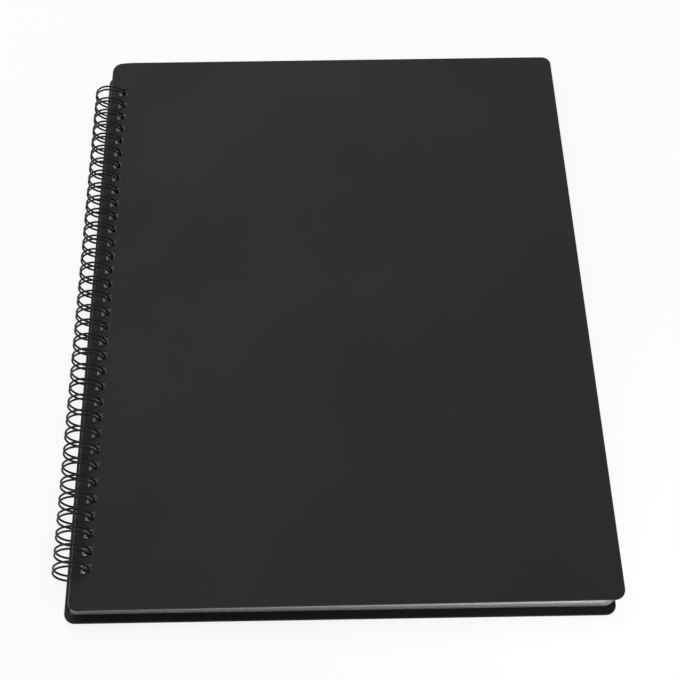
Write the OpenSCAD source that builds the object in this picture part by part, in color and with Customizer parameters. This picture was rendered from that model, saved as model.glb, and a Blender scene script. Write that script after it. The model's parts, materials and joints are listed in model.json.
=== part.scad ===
// Wire-bound music folder: two covers, clear sleeves with insert sheets and one twin-loop binding wire.
// X runs from the spine to the fore edge, Y along the spine towards the top of the page, Z up from the table.

/* [Sheets] */
// Width of one sheet of music
sheet_w = 210; // [148:1:216]
// Length of one sheet of music
sheet_l = 297; // [210:1:297]
// Thickness of one sheet of paper
sheet_t = 0.1; // [0.08:0.01:0.12]

/* [Sleeves] */
// Number of clear sleeves
sleeve_count = 20; // [5:1:20]
// Thickness of one film of a sleeve
film_t = 0.1; // [0.06:0.01:0.1]
// Room between the two films of a pocket
pocket_gap = 0.16; // [0.14:0.01:0.16]
// Extra width of a pocket beside its sheet
pocket_play = 9; // [2:0.5:12]
// Length of a pocket above its sheet, up to the open top
pocket_top_room = 16; // [2:0.5:18]
// Width of the weld that closes a pocket
weld_w = 1.5; // [1:0.5:4]
// Distance from the row of holes to the inside of the pockets
binding_margin = 8.5; // [8:0.5:16]
// Height of the stack that one sleeve takes up at the spine
spine_pitch = 0.4; // [0.38:0.01:0.42]
// Height of the stack that one sleeve takes up at the fore edge
fore_pitch = 0.52; // [0.5:0.01:0.7]

/* [Covers] */
// Thickness of a cover
cover_t = 0.9; // [0.6:0.1:1.2]
// Radius of a cover's corners
corner_r = 5; // [2:0.5:12]
// How far the covers reach past the sleeves at the fore edge
fore_overlap = 4.5; // [3:0.5:10]
// How far the covers reach past the sleeves at the top and the bottom
end_overlap = 3; // [2.5:0.5:10]
// Largest distance from the row of holes to a cover's spine edge
cover_spine_strip = 7; // [5:0.5:7]
// How far a cover's middle lies off the middle of its row of holes
cover_offset = 1.1; // [0:0.1:2]

/* [Binding] */
// Inside diameter of the loops
ring_inner_d = 14.3; // [14.3:0.1:16]
// Thickness of the coated wire
wire_d = 1; // [0.8:0.05:1.1]
// Distance between the two wires of one loop
finger_w = 2.3; // [2:0.1:3]
// Distance from one loop to the next
loop_pitch = 8.467; // [8.4:0.001:8.5]
// Side of a square punched hole
hole_w = 4.5; // [4.3:0.1:4.8]
// Least distance from the end loops to the top and bottom edges of the covers
end_margin = 20; // [16:1:30]
// Gap between the wire and the underside of the back cover
under_gap = 0.6; // [0.5:0.1:0.8]

/* [Hidden] */
// Leaves count up from the back cover, which is leaf 0, to the front cover
front_leaf = sleeve_count + 1;
function two_digits(i) = str(i < 10 ? "0" : "", i);
function sleeve_name(i) = str("sleeve_", two_digits(i));
function insert_name(i) = str("insert_", two_digits(i));

// Loops: every leaf turns about their common axis, so each hole stays where it is on the wire
ring_r = (ring_inner_d + wire_d) / 2;
// The corners of the facetted loops lie a little outside the true circle and their sides a little inside
leg_steps = 13;
corner_ring_r = ring_r * (1 + (1 - cos(180 / leg_steps)) / 2);
axis_z = corner_ring_r + wire_d / 2;

// Height of each leaf above the axis at its row of holes, and of its far end at the fore edge
back_hole_h = cover_t / 2 + under_gap + wire_d / 2 - ring_r;
back_fore_h = cover_t / 2 - axis_z;
function stack_h(i, pitch) =
    i == 0 ? 0 : i == front_leaf ? cover_t + sleeve_count * pitch : cover_t / 2 + (i - 0.5) * pitch;
function hole_h(i) = back_hole_h + stack_h(i, spine_pitch);
function fore_h(i) = back_fore_h + stack_h(i, fore_pitch);
function hole_x(i) = sqrt(ring_r * ring_r - hole_h(i) * hole_h(i));

// A leaf's spine edge stays on its own side of the axis, so that it doesn't dip as the leaf turns
spine_clear = 0.15;
sleeve_spine_strip = min(hole_x(1), hole_x(sleeve_count)) - spine_clear;
cover_strip = min(cover_spine_strip, hole_x(front_leaf) - spine_clear);

// Sizes that follow from the sheet
pocket_w = sheet_w + pocket_play;
sheet_bottom_play = 0.5;
sheet_spine_play = 0.5;
sleeve_reach = binding_margin + pocket_w + weld_w;
sleeve_l = weld_w + sheet_bottom_play + sheet_l + pocket_top_room;
strip_t = 2 * film_t;
sleeve_t = strip_t + pocket_gap;
// The films spread from the welded strip to the pocket over this length
spread_w = 3;
cover_reach = sleeve_reach + fore_overlap;
cover_l = sleeve_l + 2 * end_overlap;
function leaf_tilt(i) = atan((fore_h(i) - hole_h(i)) / cover_reach);

// Row of loops, centred on the spine
loop_count = floor((cover_l - 2 * end_margin) / loop_pitch) + 1;
first_loop_y = (loop_count - 1) * loop_pitch / 2;
function loop_y(k) = first_loop_y - k * loop_pitch;

// The origin lies under the middle of the folder, on the table
axis_x = -(hole_x(front_leaf) + cover_reach - axis_z) / 2;

// The wire on its unrolled cylinder: u runs round the loop from the seam, in millimetres
seam_angle = 285;
round_l = 2 * PI * ring_r;
seam_gap = 0.2;
root_w = loop_pitch - finger_w;
root_depth = finger_w / 2;
leg_start = seam_gap + root_depth;
leg_end = round_l - seam_gap - finger_w / 2;
bend_steps = 4;
wire_sides = 5;

// Sleeve colours are those of clear film and cream paper, the rest is black
black = [0.19, 0.19, 0.2];
wire_black = [0.08, 0.08, 0.085];
clear_film = [0.83, 0.85, 0.9, 0.45];
cream = [0.9, 0.87, 0.79];

// A cut goes this far past the faces it opens
past = 1;
corner_steps = 6;

assert(hole_w > finger_w + wire_d, "the holes are too small for a loop");
assert(spine_pitch > sleeve_t && fore_pitch > sleeve_t, "the sleeves are thicker than their place in the stack");
assert(pocket_gap > sheet_t, "a sheet is too thick for its pocket");

// Puts a leaf's own frame, with its row of holes on x = 0, at the leaf's place on the loops
module on_leaf(i) {
    translate([axis_x + hole_x(i), 0, axis_z + hole_h(i)])
        rotate([0, -leaf_tilt(i), 0])
            children();
}

// The row of square holes along the spine
module hole_row(thickness) {
    for (k = [0:loop_count - 1])
        translate([-hole_w / 2, loop_y(k) - hole_w / 2, -thickness / 2 - past])
            cube([hole_w, hole_w, thickness + 2 * past]);
}

// One rounded corner of an outline, anticlockwise from the angle start
function rounded_corner(centre, start) = [
    for (k = [0:corner_steps])
        let (a = start + 90 * k / corner_steps)
        centre + corner_r * [cos(a), sin(a)]
];
function cover_outline() =
    let (
        x0 = corner_r - cover_strip,
        x1 = cover_reach - corner_r,
        y1 = cover_l / 2 - corner_r
    )
    concat(
        rounded_corner([x1, y1], 0),
        rounded_corner([x0, y1], 90),
        rounded_corner([x0, -y1], 180),
        rounded_corner([x1, -y1], 270)
    );

// Both covers are the same punched sheet: turned end over end, its offset from the holes changes sides
module cover(offset_y) {
    difference() {
        translate([0, offset_y, 0])
            linear_extrude(height = cover_t, center = true)
                polygon(cover_outline());
        hole_row(cover_t);
    }
}

module front_cover() {
    color(black)
        on_leaf(front_leaf)
            cover(cover_offset);
}

module back_cover() {
    color(black)
        on_leaf(0)
            cover(-cover_offset);
}

// Side view of a sleeve: a welded binding strip that spreads into the pocket
function sleeve_profile() =
    let (x1 = binding_margin - weld_w, x0 = x1 - spread_w)
    [
        [-sleeve_spine_strip, -strip_t / 2],
        [x0, -strip_t / 2],
        [x1, -sleeve_t / 2],
        [sleeve_reach, -sleeve_t / 2],
        [sleeve_reach, sleeve_t / 2],
        [x1, sleeve_t / 2],
        [x0, strip_t / 2],
        [-sleeve_spine_strip, strip_t / 2]
    ];

// Two films welded along the spine, the bottom and the fore edge, open at the top
module sleeve(i) {
    color(clear_film)
        on_leaf(i)
            difference() {
                rotate([90, 0, 0])
                    linear_extrude(height = sleeve_l, center = true)
                        polygon(sleeve_profile());
                translate([binding_margin, weld_w - sleeve_l / 2, -pocket_gap / 2])
                    cube([pocket_w, sleeve_l, pocket_gap]);
                hole_row(strip_t);
            }
}

// One sheet of paper, in the bottom corner of its pocket beside the spine
module insert_sheet(i) {
    x0 = binding_margin + sheet_spine_play;
    y0 = weld_w + sheet_bottom_play - sleeve_l / 2;
    color(cream)
        on_leaf(i)
            translate([x0, y0, -sheet_t / 2])
                cube([sheet_w, sheet_l, sheet_t]);
}

// A run of the wire is a list of [u, y, direction in u, direction in y]
function leg(y, u0, u1) = [
    for (k = [0:leg_steps])
        [u0 + (u1 - u0) * k / leg_steps, y, sign(u1 - u0), 0]
];
// Half an oval from y + w / 2 to y - w / 2, bulging by depth, without its two ends
function bend(u, y, depth, w) = [
    for (k = [1:bend_steps - 1])
        let (a = 90 - 180 * k / bend_steps)
        [u + depth * cos(a), y + w / 2 * sin(a), depth * sin(a), -w / 2 * cos(a)]
];
// One finger goes out along one leg, round its tip and back along the other
function finger(k) = concat(
    leg(loop_y(k) + finger_w / 2, leg_start, leg_end),
    bend(leg_end, loop_y(k), finger_w / 2, finger_w),
    leg(loop_y(k) - finger_w / 2, leg_end, leg_start)
);
// The root joins a finger to the next one
function root(k) =
    k == loop_count - 1 ? [] : bend(leg_start, loop_y(k) - loop_pitch / 2, -root_depth, root_w);
function wire_route() = [
    for (k = [0:loop_count - 1])
        each concat(finger(k), root(k))
];

// Rolls one point of the route up and sets the wire's cross-section there, one corner pointing outwards
function wire_section(p) =
    let (
        a = seam_angle + 360 * p[0] / round_l,
        outward = [cos(a), 0, sin(a)],
        round = [-sin(a), 0, cos(a)],
        along = p[2] * round + [0, p[3], 0],
        across = cross(along / norm(along), outward)
    )
    [
        for (j = [0:wire_sides - 1])
            let (b = 360 * j / wire_sides)
            (corner_ring_r + wire_d / 2 * cos(b)) * outward + [0, p[1], 0] + wire_d / 2 * sin(b) * across
    ];

// One tube through a list of cross-sections
module tube(sections) {
    m = wire_sides;
    n = len(sections);
    sides = [
        for (k = [0:n - 2], j = [0:m - 1])
            let (a = k * m + j, b = k * m + (j + 1) % m)
            each [[a, a + m, b + m], [a, b + m, b]]
    ];
    first_end = [for (j = [1:m - 2]) [0, j, j + 1]];
    last_end = [for (j = [1:m - 2]) [(n - 1) * m, (n - 1) * m + j + 1, (n - 1) * m + j]];
    polyhedron(points = [for (s = sections) each s], faces = concat(sides, first_end, last_end));
}

// Least room between the tip of a finger and the roots that it closes on
function tip_gap() = min([
    for (p = bend(leg_end - round_l, 0, finger_w / 2, finger_w), q = leg(finger_w / 2, leg_start, leg_end))
        norm([p[0] - q[0], p[1] - q[1]]) - wire_d
]);
echo(least_gap_between_tip_and_root = tip_gap());

module binding_wire() {
    color(wire_black)
        translate([axis_x, 0, axis_z])
            tube([for (p = wire_route()) wire_section(p)]);
}

front_cover();
back_cover();
binding_wire();
for (i = [1:sleeve_count]) {
    sleeve(i);
    insert_sheet(i);
}
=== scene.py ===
"""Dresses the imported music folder: covers, binding wire, sleeves and sheets, on a plain white stage."""

import json
import math
import random

import bmesh
import bpy
from bpy.props import FloatProperty, FloatVectorProperty, IntProperty, PointerProperty
from mathutils import Euler, Matrix, Vector


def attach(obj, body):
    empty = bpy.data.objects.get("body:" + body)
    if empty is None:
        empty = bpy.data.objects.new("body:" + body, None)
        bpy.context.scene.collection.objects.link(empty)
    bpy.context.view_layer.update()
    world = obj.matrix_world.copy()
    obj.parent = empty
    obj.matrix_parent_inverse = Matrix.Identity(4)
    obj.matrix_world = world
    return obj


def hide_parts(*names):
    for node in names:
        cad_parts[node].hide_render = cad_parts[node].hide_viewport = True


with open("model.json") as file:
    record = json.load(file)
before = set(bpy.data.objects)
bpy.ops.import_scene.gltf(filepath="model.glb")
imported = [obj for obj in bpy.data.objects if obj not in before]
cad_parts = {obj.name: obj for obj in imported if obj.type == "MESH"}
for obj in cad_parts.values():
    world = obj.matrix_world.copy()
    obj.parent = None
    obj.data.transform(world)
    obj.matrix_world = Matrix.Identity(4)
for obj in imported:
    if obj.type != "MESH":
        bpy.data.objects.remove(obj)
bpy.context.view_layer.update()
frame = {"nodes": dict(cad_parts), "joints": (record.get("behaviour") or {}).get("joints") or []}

bl_info = {
    "name": "Music folder",
    "version": (1, 0, 0),
    "blender": (4, 5, 0),
    "location": "View3D > Sidebar > Music folder",
    "description": "Models the covers, sleeves and binding wire of a wire-bound music folder",
    "category": "Add Mesh",
}

MM = 0.001
WHITE = (1.0, 1.0, 1.0, 1.0)

# Points closer than this are one point
TOUCH = 0.001 * MM
# Edges that turn by more than this are shaded sharp
SHARP = math.radians(35)
# Edges that turn by more than this, in radians, are a sheet's rims
RIM_TURN = 1.2
# A face whose normal is this upright belongs to a cover's flat side
FLAT = 0.99

# A leaf starts to bend down this far from its row of holes, over this length
BEND_START = 5 * MM
BEND_RUN = 12 * MM
# A cover is cut here, in millimetres from its row of holes, so that it can bend
COVER_CUTS = (-5.5, -4, -3, -1.2, 0, 1.2, 3, 4, 5, 30, 90, 160)
# A film is cut this far to both sides of its row of holes
FILM_CUT = 3.5 * MM
HOLE_CORNER = 0.5 * MM
FILM_CORNER = 0.8 * MM

# Direction of the wire's closed seam, in degrees around the loops from the fore edge
SEAM = 285
# Half the gap between the wire's tips and roots at the seam
SEAM_GAP = 0.2 * MM
# The sheets hold the first share of a loop's wire; it leans most after the second share more
HELD_SHARE = 0.27
LEAN_SHARE = 0.146
# Over this many loops the lean at the top end dies away
LEAN_LOOPS = 6

SLEEVES = sum(name.startswith("sleeve_") for name in frame["nodes"])
FRONT_LEAF = SLEEVES + 1
HINGE = next(joint for joint in frame["joints"] if joint["name"] == "turn_front_cover")
AXIS = Vector(HINGE["pos_m"])


def linear(hex_colour):
    """Turns an sRGB hex colour into linear red, green, blue and alpha."""
    parts = [int(hex_colour[k : k + 2], 16) / 255 for k in (1, 3, 5)]
    return [c / 12.92 if c <= 0.04045 else ((c + 0.055) / 1.055) ** 2.4 for c in parts] + [1.0]


def length(name, description, millimetres):
    """A property that holds a length, given in millimetres."""
    return FloatProperty(
        name=name,
        description=description,
        default=millimetres * MM,
        min=0.0,
        precision=5,
        unit="LENGTH",
    )


def colour(name, description, hex_colour):
    """A property that holds a colour, given as sRGB hex."""
    return FloatVectorProperty(
        name=name,
        description=description,
        default=linear(hex_colour),
        size=4,
        min=0.0,
        max=1.0,
        subtype="COLOR",
    )


class FolderSizes(bpy.types.PropertyGroup):
    """Sizes of the folder's sheets and of its binding."""

    cover_reach: length("Cover reach", "From the row of holes to a cover's fore edge", 233.5)
    cover_length: length("Cover length", "Length of a cover along the spine", 321)
    cover_strip: length("Cover strip", "From the row of holes to a cover's spine edge", 6.97)
    cover_thickness: length("Cover thickness", "Thickness of a cover", 0.9)
    cover_offset: length("Cover offset", "From a cover's middle to the middle of its holes", 1.1)
    cover_rim: length("Cover rim", "Rounding of a cover's cut edges", 0.35)
    corner_radius: length("Corner radius", "Radius of a cover's corners", 5)
    spine_droop: length("Spine droop", "How far the front cover's spine edge bends down", 1.5)
    sleeve_reach: length("Sleeve reach", "From the row of holes to a sleeve's fore edge", 229)
    sleeve_length: length("Sleeve length", "Length of a sleeve along the spine", 315)
    sleeve_strip: length("Sleeve strip", "From the row of holes to a sleeve's spine edge", 5)
    film_thickness: length("Film thickness", "Thickness of one film of a sleeve", 0.1)
    pocket_gap: length("Pocket gap", "Room between the two films of a pocket", 0.16)
    pocket_run: length("Pocket run", "From a weld to where the films are fully parted", 0.4)
    weld_width: length("Weld width", "Width of the weld along a pocket's edges", 1.5)
    binding_margin: length("Binding margin", "From the row of holes to the pocket", 8.5)
    spine_pitch: length("Spine pitch", "Height that one sleeve takes up at the spine", 0.4)
    fore_pitch: length("Fore pitch", "Height that one sleeve takes up at the fore edge", 0.52)
    under_gap: length("Under gap", "Gap between the wire and the back cover's underside", 0.6)
    ring_radius: length("Loop radius", "Radius of the loops at the middle of the wire", 7.65)
    wire_thickness: length("Wire thickness", "Thickness of the coated wire", 1)
    finger_width: length("Finger width", "Distance between the two wires of one loop", 2.3)
    loop_pitch: length("Loop pitch", "Distance from one loop to the next", 8.467)
    hole_width: length("Hole width", "Side of a punched hole", 4.5)
    loop_lean: length("Loop lean", "How far a loop may lean out of true", 0.12)
    end_lean: length("End lean", "How far the last loop at the top leans towards the others", 1)
    loop_count: IntProperty(name="Loops", description="Number of loops", default=34, min=2)


class FolderColours(bpy.types.PropertyGroup):
    """Colours of the folder's materials."""

    cover: colour("Cover", "Black of the covers", "#161617")
    cover_dust: colour("Cover dust", "Pale specks on the covers", "#77777A")
    wire: colour("Wire", "Black of the wire's coating", "#0D0D0E")
    film: colour("Film", "Tint of the clear film", "#E8E8EC")
    film_edge: colour("Film edge", "Tint of the film's cut edges", "#CBCAD1")
    paper: colour("Paper", "Off-white of the insert sheets", "#EBE8DF")
    paper_fibre: colour("Paper fibre", "Darker fibres in the insert sheets", "#E1DDD2")
    floor: colour("Floor", "White of the floor", "#F4F4F4")


# Where the leaves lie


def hole_height(sizes, leaf):
    """Height of a leaf's row of holes above the binding's axis."""
    back = sizes.cover_thickness / 2 + sizes.under_gap + sizes.wire_thickness / 2 - sizes.ring_radius
    return back + stack_height(sizes, leaf, sizes.spine_pitch)


def fore_height(sizes, leaf):
    """Height of a leaf's fore edge above the binding's axis."""
    back = sizes.cover_thickness / 2 - AXIS.z
    return back + stack_height(sizes, leaf, sizes.fore_pitch)


def stack_height(sizes, leaf, pitch):
    """Height of a leaf above the back cover, which is leaf 0."""
    if leaf == 0:
        return 0.0
    if leaf == FRONT_LEAF:
        return sizes.cover_thickness + SLEEVES * pitch
    return sizes.cover_thickness / 2 + (leaf - 0.5) * pitch


def leaf_place(sizes, leaf):
    """Matrix from a leaf's own frame, with its row of holes on x = 0, to the folder's frame."""
    height = hole_height(sizes, leaf)
    reach = math.sqrt(sizes.ring_radius**2 - height**2)
    tilt = math.atan((fore_height(sizes, leaf) - height) / sizes.cover_reach)
    return Matrix.Translation(AXIS + Vector((reach, 0, height))) @ Matrix.Rotation(-tilt, 4, "Y")


def loop_y(sizes, k):
    """Place of a loop along the spine."""
    return ((sizes.loop_count - 1) / 2 - k) * sizes.loop_pitch


def droop(sizes, leaf, x):
    """How far a leaf bends down between its row of holes and its spine edge."""
    if x > BEND_START:
        return 0.0
    return sizes.spine_droop * leaf / FRONT_LEAF * ((BEND_START - x) / BEND_RUN) ** 2


# Modelling


def add_outline(bm, x0, x1, y0, y1, radius, segments):
    """Adds the outline of a rectangle with rounded corners."""
    middle = Matrix.Translation(((x0 + x1) / 2, (y0 + y1) / 2, 0))
    size = Matrix.Diagonal((x1 - x0, y1 - y0, 1, 1))
    corners = bmesh.ops.create_grid(bm, x_segments=1, y_segments=1, size=0.5, matrix=middle @ size)["verts"]
    if radius:
        bmesh.ops.bevel(
            bm,
            geom=corners,
            offset=radius,
            segments=segments,
            profile=0.5,
            affect="VERTICES",
            material=-1,
        )
    bmesh.ops.delete(bm, geom=bm.faces[:], context="FACES_ONLY")


def add_hole_row(bm, sizes, radius, segments):
    """Adds the outlines of the punched holes."""
    half = sizes.hole_width / 2
    for k in range(sizes.loop_count):
        y = loop_y(sizes, k)
        add_outline(bm, -half, half, y - half, y + half, radius, segments)


def cut_across(bm, places, axis):
    """Cuts the whole mesh at places along one axis, so that it can bend there."""
    normal = Vector((0, 0, 0))
    normal[axis] = 1
    for place in places:
        everything = bm.verts[:] + bm.edges[:] + bm.faces[:]
        bmesh.ops.bisect_plane(bm, geom=everything, plane_co=normal * place, plane_no=normal)


def thicken(bm, thickness):
    """Gives the flat faces a thickness, the middle of which is on z = 0."""
    made = bmesh.ops.extrude_face_region(bm, geom=bm.faces[:])["geom"]
    raised = [item for item in made if isinstance(item, bmesh.types.BMVert)]
    bmesh.ops.translate(bm, verts=raised, vec=(0, 0, thickness))
    bmesh.ops.translate(bm, verts=bm.verts[:], vec=(0, 0, -thickness / 2))
    bmesh.ops.recalc_face_normals(bm, faces=bm.faces[:])


def round_rims(bm, offset, segments):
    """Rounds the edges where a sheet's face meets its cut side."""
    rims = [edge for edge in bm.edges if edge.is_manifold and edge.calc_face_angle() > RIM_TURN]
    bmesh.ops.bevel(
        bm,
        geom=rims,
        offset=offset,
        segments=segments,
        profile=0.5,
        affect="EDGES",
        material=-1,
    )


def finish_piece(bm, name, materials, body, node):
    """Makes the modelled mesh a piece of the folder that stands for a CAD node."""
    mesh = bpy.data.meshes.new(name)
    for face in bm.faces:
        face.smooth = True
    # A flat face keeps its own shading beside a rounded rim of another finish
    for edge in bm.edges:
        finishes = {face.material_index for face in edge.link_faces}
        edge.smooth = len(finishes) == 1 and edge.calc_face_angle(0.0) < SHARP
    bm.to_mesh(mesh)
    bm.free()
    for material in materials:
        mesh.materials.append(material)
    piece = bpy.data.objects.new(name, mesh)
    bpy.context.scene.collection.objects.link(piece)
    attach(piece, body)
    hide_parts(node)
    return piece


# Materials


def add_node(tree, kind, inputs=None, **settings):
    """Adds a node with its settings; an input is a value, or the socket that it is linked to."""
    node = tree.nodes.new(kind)
    for key, value in settings.items():
        setattr(node, key, value)
    for key, value in (inputs or {}).items():
        if isinstance(value, bpy.types.NodeSocket):
            tree.links.new(value, node.inputs[key])
        else:
            node.inputs[key].default_value = value
    return node


def new_material(name):
    """An empty node material with its output."""
    material = bpy.data.materials.new(name)
    material.use_nodes = True
    tree = material.node_tree
    tree.nodes.clear()
    return material, tree, add_node(tree, "ShaderNodeOutputMaterial")


def per_size(millimetres):
    """Texture scale at which one feature of a pattern has this size."""
    return 1 / (millimetres * MM)


def matt_polypropylene(colours):
    # Polypropylene sheet rolled between grained cylinders: an even matt black with a soft, wide sheen
    material, tree, output = new_material("matt_polypropylene")
    place = add_node(tree, "ShaderNodeTexCoord").outputs["Object"]
    # The rollers' grain is about 0.15 mm; it is drawn at 0.8 mm so that it shows
    grain = add_node(
        tree,
        "ShaderNodeTexNoise",
        {"Vector": place, "Scale": per_size(0.8), "Detail": 3.0, "Roughness": 0.6},
    )
    # Pigment and handling vary a little over the width of a hand
    clouds = add_node(
        tree,
        "ShaderNodeTexNoise",
        {"Vector": place, "Scale": per_size(70), "Detail": 4.0, "Roughness": 0.55},
    )
    # A speck of dust is 0.2 mm; it is drawn at twice that, one to every 7 mm
    specks = add_node(
        tree,
        "ShaderNodeTexVoronoi",
        {"Vector": place, "Scale": per_size(7), "Randomness": 1.0},
    )
    speck_mask = add_node(
        tree,
        "ShaderNodeMapRange",
        {
            "Value": specks.outputs["Distance"],
            "From Min": 0.02,
            "From Max": 0.06,
            "To Min": 0.2,
            "To Max": 0.0,
        },
    )
    tint = add_node(
        tree,
        "ShaderNodeMapRange",
        {"Value": clouds.outputs["Fac"], "From Min": 0.3, "From Max": 0.7, "To Min": 0.9, "To Max": 1.08},
    )
    black = add_node(
        tree,
        "ShaderNodeMix",
        {"Factor": 1.0, "A": colours.cover, "B": tint.outputs["Result"]},
        data_type="RGBA",
        blend_type="MULTIPLY",
    )
    dusty = add_node(
        tree,
        "ShaderNodeMix",
        {"Factor": speck_mask.outputs["Result"], "A": black.outputs["Result"], "B": colours.cover_dust},
        data_type="RGBA",
    )
    gloss = add_node(
        tree,
        "ShaderNodeMapRange",
        {"Value": clouds.outputs["Fac"], "From Min": 0.3, "From Max": 0.7, "To Min": 0.5, "To Max": 0.6},
    )
    bump = add_node(
        tree,
        "ShaderNodeBump",
        {"Strength": 0.25, "Distance": 0.04 * MM, "Height": grain.outputs["Fac"]},
    )
    shader = add_node(
        tree,
        "ShaderNodeBsdfPrincipled",
        {
            "Base Color": dusty.outputs["Result"],
            "Roughness": gloss.outputs["Result"],
            "IOR": 1.49,
            "Specular IOR Level": 0.14,
            "Normal": bump.outputs["Normal"],
        },
    )
    tree.links.new(shader.outputs["BSDF"], output.inputs["Surface"])
    return material


def cut_polypropylene(colours):
    # Punch and knife leave the sheet's edges smoother than its grained faces, so they catch the light
    material, tree, output = new_material("cut_polypropylene_edge")
    place = add_node(tree, "ShaderNodeTexCoord").outputs["Object"]
    # The knife drags at the plastic every 2 mm or so
    drag = add_node(
        tree,
        "ShaderNodeTexNoise",
        {"Vector": place, "Scale": per_size(2), "Detail": 3.0},
    )
    gloss = add_node(
        tree,
        "ShaderNodeMapRange",
        {"Value": drag.outputs["Fac"], "From Min": 0.3, "From Max": 0.7, "To Min": 0.25, "To Max": 0.4},
    )
    shader = add_node(
        tree,
        "ShaderNodeBsdfPrincipled",
        {
            "Base Color": colours.cover,
            "Roughness": gloss.outputs["Result"],
            "IOR": 1.49,
            "Specular IOR Level": 0.3,
        },
    )
    tree.links.new(shader.outputs["BSDF"], output.inputs["Surface"])
    return material


def nylon_coated_wire(colours):
    # Steel wire dipped in black nylon: a satin skin with narrow highlights and slight unevenness
    material, tree, output = new_material("nylon_coated_wire")
    place = add_node(tree, "ShaderNodeTexCoord").outputs["Object"]
    # The coating's orange peel is about 0.5 mm
    peel = add_node(
        tree,
        "ShaderNodeTexNoise",
        {"Vector": place, "Scale": per_size(0.5), "Detail": 2.0},
    )
    wear = add_node(
        tree,
        "ShaderNodeTexNoise",
        {"Vector": place, "Scale": per_size(6), "Detail": 3.0},
    )
    gloss = add_node(
        tree,
        "ShaderNodeMapRange",
        {"Value": wear.outputs["Fac"], "From Min": 0.3, "From Max": 0.7, "To Min": 0.24, "To Max": 0.42},
    )
    tint = add_node(
        tree,
        "ShaderNodeMapRange",
        {"Value": wear.outputs["Fac"], "From Min": 0.3, "From Max": 0.7, "To Min": 0.75, "To Max": 1.25},
    )
    black = add_node(
        tree,
        "ShaderNodeMix",
        {"Factor": 1.0, "A": colours.wire, "B": tint.outputs["Result"]},
        data_type="RGBA",
        blend_type="MULTIPLY",
    )
    bump = add_node(
        tree,
        "ShaderNodeBump",
        {"Strength": 0.2, "Distance": 0.03 * MM, "Height": peel.outputs["Fac"]},
    )
    shader = add_node(
        tree,
        "ShaderNodeBsdfPrincipled",
        {
            "Base Color": black.outputs["Result"],
            "Roughness": gloss.outputs["Result"],
            "IOR": 1.53,
            "Specular IOR Level": 0.15,
            "Normal": bump.outputs["Normal"],
        },
    )
    tree.links.new(shader.outputs["BSDF"], output.inputs["Surface"])
    return material


def clear_film(colours):
    # Cast polypropylene film: clear and glossy, with slow waves where it isn't held flat
    material, tree, output = new_material("clear_polypropylene_film")
    place = add_node(tree, "ShaderNodeUVMap", uv_map="sheet").outputs["UV"]
    waves = add_node(
        tree,
        "ShaderNodeTexNoise",
        {"Vector": place, "Scale": per_size(45), "Detail": 1.5, "Distortion": 0.4},
    )
    # Die lines of the casting run along the spine, some 4 mm apart
    stretched = add_node(
        tree,
        "ShaderNodeMapping",
        {"Vector": place, "Scale": (1.0, 0.02, 1.0)},
    )
    lines = add_node(
        tree,
        "ShaderNodeTexNoise",
        {"Vector": stretched.outputs["Vector"], "Scale": per_size(4), "Detail": 2.0},
    )
    height = add_node(
        tree,
        "ShaderNodeMath",
        {0: lines.outputs["Fac"], 1: 0.03, 2: waves.outputs["Fac"]},
        operation="MULTIPLY_ADD",
    )
    bump = add_node(
        tree,
        "ShaderNodeBump",
        {"Strength": 0.5, "Distance": 1.2 * MM, "Height": height.outputs["Value"]},
    )
    haze = add_node(
        tree,
        "ShaderNodeMapRange",
        {"Value": waves.outputs["Fac"], "From Min": 0.3, "From Max": 0.7, "To Min": 0.1, "To Max": 0.2},
    )
    shader = add_node(
        tree,
        "ShaderNodeBsdfPrincipled",
        {
            "Base Color": colours.film,
            "Roughness": haze.outputs["Result"],
            "IOR": 1.49,
            "Alpha": 0.14,
            "Normal": bump.outputs["Normal"],
        },
    )
    tree.links.new(shader.outputs["BSDF"], output.inputs["Surface"])
    return material


def welded_film(colours):
    # Two films melted together under a ribbed bar: clearer than two loose films, with fine ribs
    material, tree, output = new_material("welded_polypropylene_film")
    place = add_node(tree, "ShaderNodeUVMap", uv_map="sheet").outputs["UV"]
    # The bar's ribs are 0.8 mm apart
    ribs = add_node(
        tree,
        "ShaderNodeTexWave",
        {"Vector": place, "Scale": per_size(0.8) / 20 * math.pi, "Distortion": 0.3},
        bands_direction="DIAGONAL",
    )
    mottle = add_node(
        tree,
        "ShaderNodeTexNoise",
        {"Vector": place, "Scale": per_size(5), "Detail": 3.0},
    )
    bump = add_node(
        tree,
        "ShaderNodeBump",
        {"Strength": 0.4, "Distance": 0.05 * MM, "Height": ribs.outputs["Fac"]},
    )
    gloss = add_node(
        tree,
        "ShaderNodeMapRange",
        {"Value": mottle.outputs["Fac"], "From Min": 0.3, "From Max": 0.7, "To Min": 0.25, "To Max": 0.4},
    )
    shader = add_node(
        tree,
        "ShaderNodeBsdfPrincipled",
        {
            "Base Color": colours.film,
            "Roughness": gloss.outputs["Result"],
            "IOR": 1.49,
            "Alpha": 0.035,
            "Normal": bump.outputs["Normal"],
        },
    )
    tree.links.new(shader.outputs["BSDF"], output.inputs["Surface"])
    return material


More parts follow.
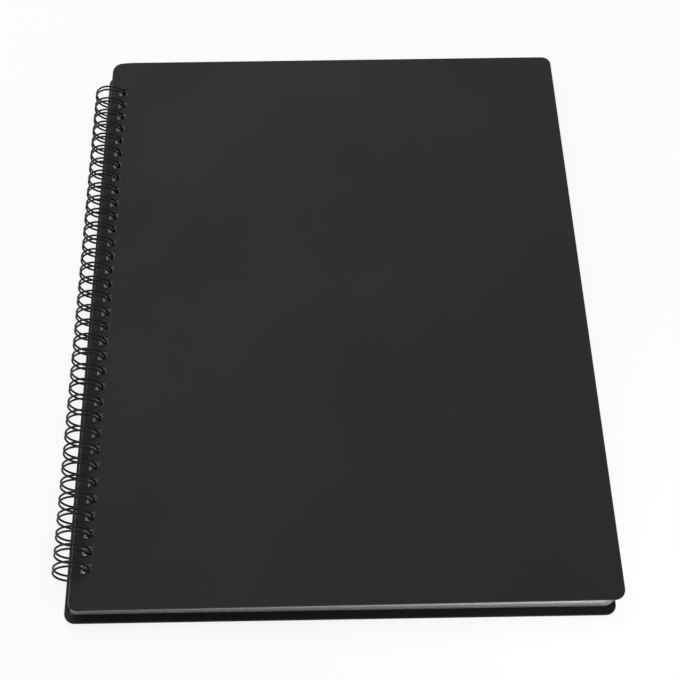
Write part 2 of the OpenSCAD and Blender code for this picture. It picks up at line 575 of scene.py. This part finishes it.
def cut_film_edge(colours):
    # The guillotined edge of the film scatters light and looks lilac grey
    material, tree, output = new_material("cut_polypropylene_film_edge")
    place = add_node(tree, "ShaderNodeTexCoord").outputs["Object"]
    # The blade leaves nicks about 1.5 mm apart
    nicks = add_node(
        tree,
        "ShaderNodeTexNoise",
        {"Vector": place, "Scale": per_size(1.5), "Detail": 2.0},
    )
    tint = add_node(
        tree,
        "ShaderNodeMapRange",
        {"Value": nicks.outputs["Fac"], "From Min": 0.3, "From Max": 0.7, "To Min": 0.8, "To Max": 1.1},
    )
    grey = add_node(
        tree,
        "ShaderNodeMix",
        {"Factor": 1.0, "A": colours.film_edge, "B": tint.outputs["Result"]},
        data_type="RGBA",
        blend_type="MULTIPLY",
    )
    shader = add_node(
        tree,
        "ShaderNodeBsdfPrincipled",
        {"Base Color": grey.outputs["Result"], "Roughness": 0.45, "IOR": 1.49, "Alpha": 0.2},
    )
    tree.links.new(shader.outputs["BSDF"], output.inputs["Surface"])
    return material


def uncoated_paper(colours):
    # Uncoated off-white paper from a wire sieve: matt, with a cloudy formation and short fibres
    material, tree, output = new_material("uncoated_off_white_paper")
    place = add_node(tree, "ShaderNodeTexCoord").outputs["Object"]
    formation = add_node(
        tree,
        "ShaderNodeTexNoise",
        {"Vector": place, "Scale": per_size(9), "Detail": 4.0, "Roughness": 0.6},
    )
    # Fibres are 2 mm long and 0.03 mm wide; they are drawn 0.3 mm wide so that they show
    stretched = add_node(
        tree,
        "ShaderNodeMapping",
        {"Vector": place, "Scale": (1.0, 0.2, 1.0)},
    )
    fibres = add_node(
        tree,
        "ShaderNodeTexNoise",
        {"Vector": stretched.outputs["Vector"], "Scale": per_size(0.4), "Detail": 3.0},
    )
    shade = add_node(
        tree,
        "ShaderNodeMath",
        {0: formation.outputs["Fac"], 1: fibres.outputs["Fac"]},
        operation="MULTIPLY",
    )
    shade_mask = add_node(
        tree,
        "ShaderNodeMapRange",
        {"Value": shade.outputs["Value"], "From Min": 0.15, "From Max": 0.4, "To Min": 0.0, "To Max": 1.0},
    )
    white = add_node(
        tree,
        "ShaderNodeMix",
        {"Factor": shade_mask.outputs["Result"], "A": colours.paper, "B": colours.paper_fibre},
        data_type="RGBA",
    )
    bump = add_node(
        tree,
        "ShaderNodeBump",
        {"Strength": 0.2, "Distance": 0.03 * MM, "Height": fibres.outputs["Fac"]},
    )
    shader = add_node(
        tree,
        "ShaderNodeBsdfPrincipled",
        {
            "Base Color": white.outputs["Result"],
            "Roughness": 0.9,
            "IOR": 1.5,
            "Normal": bump.outputs["Normal"],
        },
    )
    tree.links.new(shader.outputs["BSDF"], output.inputs["Surface"])
    return material


def seen_directly(tree):
    """Socket that is 1 where the camera, a reflection or a refraction sees the surface."""
    path = add_node(tree, "ShaderNodeLightPath")
    mirrored = add_node(
        tree,
        "ShaderNodeMath",
        {0: path.outputs["Is Glossy Ray"], 1: path.outputs["Is Transmission Ray"]},
        operation="MAXIMUM",
    )
    seen = add_node(
        tree,
        "ShaderNodeMath",
        {0: path.outputs["Is Camera Ray"], 1: mirrored.outputs["Value"]},
        operation="MAXIMUM",
    )
    return seen.outputs["Value"]


def white_floor(colours):
    # Seamless white paper sweep, bright enough to leave only a faint shadow
    material, tree, output = new_material("white_paper_sweep")
    lit = add_node(tree, "ShaderNodeBsdfDiffuse", {"Color": colours.floor})
    white = add_node(tree, "ShaderNodeEmission", {"Color": WHITE, "Strength": 1.0})
    share = add_node(
        tree,
        "ShaderNodeMath",
        {0: seen_directly(tree), 1: 0.85},
        operation="MULTIPLY",
    )
    mixed = add_node(
        tree,
        "ShaderNodeMixShader",
        {"Fac": share.outputs["Value"], 1: lit.outputs["BSDF"], 2: white.outputs["Emission"]},
    )
    tree.links.new(mixed.outputs["Shader"], output.inputs["Surface"])
    return material


# Operators, one for each group of like pieces


class FOLDER_OT_covers(bpy.types.Operator):
    """Model the front and back cover"""

    bl_idname = "folder.covers"
    bl_label = "Covers"

    def execute(self, context):
        sizes = context.scene.folder_sizes
        colours = context.scene.folder_colours
        materials = [matt_polypropylene(colours), cut_polypropylene(colours)]
        self.cover(sizes, materials, "front_cover", FRONT_LEAF, sizes.cover_offset, "front")
        self.cover(sizes, materials, "back_cover", 0, -sizes.cover_offset, "base")
        return {"FINISHED"}

    def cover(self, sizes, materials, node, leaf, offset, body):
        bm = bmesh.new()
        half = sizes.cover_length / 2
        add_outline(
            bm,
            -sizes.cover_strip,
            sizes.cover_reach,
            offset - half,
            offset + half,
            sizes.corner_radius,
            10,
        )
        add_hole_row(bm, sizes, HOLE_CORNER, 3)
        bmesh.ops.triangle_fill(bm, edges=bm.edges[:], use_beauty=True, normal=(0, 0, 1))
        cut_across(bm, [x * MM for x in COVER_CUTS], 0)
        thicken(bm, sizes.cover_thickness)
        round_rims(bm, sizes.cover_rim, 3)
        # The rims and the holes' sides have the finish of a cut edge
        for face in bm.faces:
            face.normal_update()
            face.material_index = 1 if abs(face.normal.z) < FLAT else 0
        for vert in bm.verts:
            vert.co.z -= droop(sizes, leaf, vert.co.x)
        bmesh.ops.transform(bm, matrix=leaf_place(sizes, leaf), verts=bm.verts[:])
        finish_piece(bm, node + "_sheet", materials, body, node)


class FOLDER_OT_binding(bpy.types.Operator):
    """Bend the binding wire into its twin loops"""

    bl_idname = "folder.binding"
    bl_label = "Binding wire"

    def execute(self, context):
        sizes = context.scene.folder_sizes
        points = self.route(sizes)
        curve = bpy.data.curves.new("twin_loop_wire", "CURVE")
        curve.dimensions = "3D"
        curve.bevel_depth = sizes.wire_thickness / 2
        curve.bevel_resolution = 3
        curve.use_fill_caps = True
        spline = curve.splines.new("POLY")
        spline.points.add(len(points) - 1)
        for point, place in zip(spline.points, points):
            point.co = (*place, 1.0)
        rolled = bpy.data.objects.new("twin_loop_wire", curve)
        bm = bmesh.new()
        bm.from_mesh(rolled.to_mesh())
        bpy.data.objects.remove(rolled)
        bmesh.ops.remove_doubles(bm, verts=bm.verts[:], dist=TOUCH)
        bmesh.ops.recalc_face_normals(bm, faces=bm.faces[:])
        material = nylon_coated_wire(context.scene.folder_colours)
        finish_piece(bm, "twin_loop_wire", [material], "base", "binding_wire")
        return {"FINISHED"}

    def route(self, sizes):
        """The wire's way through all fingers and the roots between them, rolled up."""
        lean = random.Random(5)
        around = 2 * math.pi * sizes.ring_radius
        depth = sizes.finger_width / 2
        start = SEAM_GAP + depth
        end = around - start
        root_width = sizes.loop_pitch - sizes.finger_width
        flat = []
        for k in range(sizes.loop_count):
            y = loop_y(sizes, k)
            # The last loops at the top have been knocked towards their neighbours
            bow = lean.uniform(-1, 1) * sizes.loop_lean - sizes.end_lean * math.exp(-k / LEAN_LOOPS)
            flat += self.leg(y + sizes.finger_width / 2, start, end, bow)
            flat += self.bend(end, y, depth, sizes.finger_width)
            flat += self.leg(y - sizes.finger_width / 2, end, start, bow)
            if k < sizes.loop_count - 1:
                flat += self.bend(start, y - sizes.loop_pitch / 2, -depth, root_width)
        return [self.rolled(sizes, u / around, y) for u, y in flat]

    def leg(self, y, u0, u1, bow, steps=40):
        """One long wire of a finger, which leans sideways most on top, where no sheet holds it."""
        points = []
        for k in range(steps + 1):
            u = u0 + (u1 - u0) * k / steps
            share = (u - min(u0, u1)) / abs(u1 - u0)
            free = max(share - HELD_SHARE, 0.0) / LEAN_SHARE
            points.append((u, y + bow * free**2 * math.exp(2 - 2 * free)))
        return points

    def bend(self, u, y, depth, width, steps=10):
        """Half an oval from one wire to the next, without its two ends."""
        turns = [math.pi * (0.5 - k / steps) for k in range(1, steps)]
        return [(u + depth * math.cos(a), y + width / 2 * math.sin(a)) for a in turns]

    def rolled(self, sizes, share, y):
        """A point of the flat route on the loops' cylinder, counted from the seam under the spine."""
        angle = math.radians(SEAM + 360 * share)
        return AXIS + Vector((sizes.ring_radius * math.cos(angle), y, sizes.ring_radius * math.sin(angle)))


class FOLDER_OT_sleeves(bpy.types.Operator):
    """Model the clear sleeves from two welded films each"""

    bl_idname = "folder.sleeves"
    bl_label = "Sleeves"

    def execute(self, context):
        sizes = context.scene.folder_sizes
        colours = context.scene.folder_colours
        materials = [clear_film(colours), welded_film(colours), cut_film_edge(colours)]
        film = self.film(sizes)
        for leaf in range(1, SLEEVES + 1):
            self.sleeve(sizes, film, materials, leaf)
        bpy.data.meshes.remove(film)
        return {"FINISHED"}

    def film(self, sizes):
        """One flat punched film, cut where the sleeve bends or changes its finish."""
        bm = bmesh.new()
        half = sizes.sleeve_length / 2
        add_outline(bm, -sizes.sleeve_strip, sizes.sleeve_reach, -half, half, FILM_CORNER, 2)
        add_hole_row(bm, sizes, 0, 0)
        bmesh.ops.triangle_fill(bm, edges=bm.edges[:], use_beauty=True, normal=(0, 0, 1))
        run = sizes.pocket_run
        margin = sizes.binding_margin
        fore = sizes.sleeve_reach - sizes.weld_width
        weld = margin - sizes.weld_width
        cut_across(bm, [-FILM_CUT, 0, FILM_CUT, weld, margin, margin + run, fore - run, fore], 0)
        cut_across(bm, [sizes.weld_width - half, sizes.weld_width + run - half], 1)
        thicken(bm, sizes.film_thickness)
        mesh = bpy.data.meshes.new("film")
        bm.to_mesh(mesh)
        bm.free()
        return mesh

    def sleeve(self, sizes, film, materials, leaf):
        bm = bmesh.new()
        for side in (-1, 1):
            before = len(bm.verts)
            bm.from_mesh(film)
            bm.verts.ensure_lookup_table()
            for vert in bm.verts[before:]:
                vert.co.z += side * self.film_height(sizes, vert.co.x, vert.co.y)
        # The films are one where they are welded
        inner = [face for face in bm.faces if all(abs(vert.co.z) < TOUCH for vert in face.verts)]
        bmesh.ops.delete(bm, geom=inner, context="FACES")
        bmesh.ops.remove_doubles(bm, verts=bm.verts[:], dist=TOUCH)
        self.finish_faces(bm, sizes)
        for vert in bm.verts:
            vert.co.z -= droop(sizes, leaf, vert.co.x)
        bmesh.ops.transform(bm, matrix=leaf_place(sizes, leaf), verts=bm.verts[:])
        number = f"{leaf:02d}"
        finish_piece(
            bm,
            "clear_sleeve_" + number,
            materials,
            "leaf_" + number,
            "sleeve_" + number,
        )

    def film_height(self, sizes, x, y):
        """Height of a film's middle: the films touch along the welds and part in the pocket."""
        inside = min(
            x - sizes.binding_margin,
            sizes.sleeve_reach - sizes.weld_width - x,
            y + sizes.sleeve_length / 2 - sizes.weld_width,
        )
        parted = min(max(inside / sizes.pocket_run, 0.0), 1.0)
        return (sizes.film_thickness + sizes.pocket_gap * parted) / 2

    def finish_faces(self, bm, sizes):
        """Gives each face its finish and its place on the flat sheet."""
        sheet = bm.loops.layers.uv.new("sheet")
        for face in bm.faces:
            middle = face.calc_center_median()
            welded = (
                sizes.binding_margin - sizes.weld_width < middle.x < sizes.binding_margin
                or middle.x > sizes.sleeve_reach - sizes.weld_width
                or middle.y < sizes.weld_width - sizes.sleeve_length / 2
            )
            face.normal_update()
            upright = abs(face.normal.z) < 0.5
            if upright:
                face.material_index = 2
            else:
                face.material_index = 1 if welded else 0
            for loop in face.loops:
                loop[sheet].uv = loop.vert.co.xy


class FOLDER_OT_inserts(bpy.types.Operator):
    """Finish the insert sheets as off-white paper"""

    bl_idname = "folder.inserts"
    bl_label = "Insert sheets"

    def execute(self, context):
        material = uncoated_paper(context.scene.folder_colours)
        for name, node in frame["nodes"].items():
            if name.startswith("insert_"):
                node.data.materials.clear()
                node.data.materials.append(material)
        return {"FINISHED"}


class FOLDER_OT_stage(bpy.types.Operator):
    """Set up the white floor, the soft light and the camera"""

    bl_idname = "folder.stage"
    bl_label = "Stage"

    def execute(self, context):
        scene = context.scene
        scene.view_settings.view_transform = "Standard"
        # A view down through all the pockets crosses four faces of film in each sleeve
        scene.cycles.transparent_max_bounces = 4 * SLEEVES + 16
        self.floor(context)
        self.world(scene)
        self.lamp("overhead_softbox", (-0.2, 0.75, 1.35), (1.25, 1.25), 12.0)
        strip = self.lamp("corner_strip", (0.34, -0.34, 0.04), (0.2, 0.05), 2.5)
        # A flag keeps this low strip out of the covers' reflections
        strip.visible_glossy = False
        self.lamp("spine_strip", (-1.2, 0.2, 0.25), (0.5, 0.2), 4.5)
        self.camera(scene)
        return {"FINISHED"}

    def floor(self, context):
        bm = bmesh.new()
        bmesh.ops.create_grid(bm, x_segments=1, y_segments=1, size=6.0)
        mesh = bpy.data.meshes.new("floor")
        bm.to_mesh(mesh)
        bm.free()
        mesh.materials.append(white_floor(context.scene.folder_colours))
        floor = bpy.data.objects.new("floor", mesh)
        context.scene.collection.objects.link(floor)

    def world(self, scene):
        world = bpy.data.worlds.new("studio")
        world.use_nodes = True
        tree = world.node_tree
        tree.nodes.clear()
        fill = add_node(tree, "ShaderNodeBackground", {"Color": WHITE, "Strength": 0.44})
        white = add_node(tree, "ShaderNodeBackground", {"Color": WHITE, "Strength": 1.0})
        mixed = add_node(
            tree,
            "ShaderNodeMixShader",
            {"Fac": seen_directly(tree), 1: fill.outputs["Background"], 2: white.outputs["Background"]},
        )
        add_node(tree, "ShaderNodeOutputWorld", {"Surface": mixed.outputs["Shader"]})
        scene.world = world

    def lamp(self, name, place, size, power):
        light = bpy.data.lights.new(name, "AREA")
        light.shape = "RECTANGLE"
        light.size, light.size_y = size
        light.energy = power
        lamp = bpy.data.objects.new(name, light)
        lamp.location = place
        lamp.rotation_euler = (-Vector(place)).to_track_quat("-Z", "Y").to_euler()
        bpy.context.scene.collection.objects.link(lamp)
        return lamp

    def camera(self, scene):
        lens = bpy.data.cameras.new("camera")
        lens.sensor_width = 36.0
        lens.lens = 76.645
        lens.clip_start = 0.01
        camera = bpy.data.objects.new("camera", lens)
        # Degrees that the camera looks down, is turned and is rolled
        down, turn, roll = 56.589, -2.062, 0.825
        aim = Euler((math.radians(90 - down), 0, math.radians(turn))).to_matrix()
        camera.location = (-0.00953, -0.40597, 0.59238)
        camera.rotation_euler = (aim @ Matrix.Rotation(math.radians(roll), 3, "Z")).to_euler()
        scene.collection.objects.link(camera)
        scene.camera = camera


OPERATORS = (
    FOLDER_OT_covers,
    FOLDER_OT_binding,
    FOLDER_OT_sleeves,
    FOLDER_OT_inserts,
    FOLDER_OT_stage,
)


class FOLDER_PT_panel(bpy.types.Panel):
    """Lists the folder's sizes, colours and operators"""

    bl_label = "Music folder"
    bl_idname = "FOLDER_PT_panel"
    bl_space_type = "VIEW_3D"
    bl_region_type = "UI"
    bl_category = "Music folder"

    def draw(self, context):
        for group in (context.scene.folder_sizes, context.scene.folder_colours):
            column = self.layout.column()
            for name in group.__annotations__:
                column.prop(group, name)
        for operator in OPERATORS:
            self.layout.operator(operator.bl_idname)


CLASSES = (FolderSizes, FolderColours, *OPERATORS, FOLDER_PT_panel)


def register():
    for cls in CLASSES:
        bpy.utils.register_class(cls)
    bpy.types.Scene.folder_sizes = PointerProperty(type=FolderSizes)
    bpy.types.Scene.folder_colours = PointerProperty(type=FolderColours)


def unregister():
    del bpy.types.Scene.folder_colours
    del bpy.types.Scene.folder_sizes
    for cls in reversed(CLASSES):
        bpy.utils.unregister_class(cls)


def main():
    register()
    bpy.ops.folder.covers()
    bpy.ops.folder.binding()
    bpy.ops.folder.sleeves()
    bpy.ops.folder.inserts()
    bpy.ops.folder.stage()


if __name__ == "__main__":
    main()
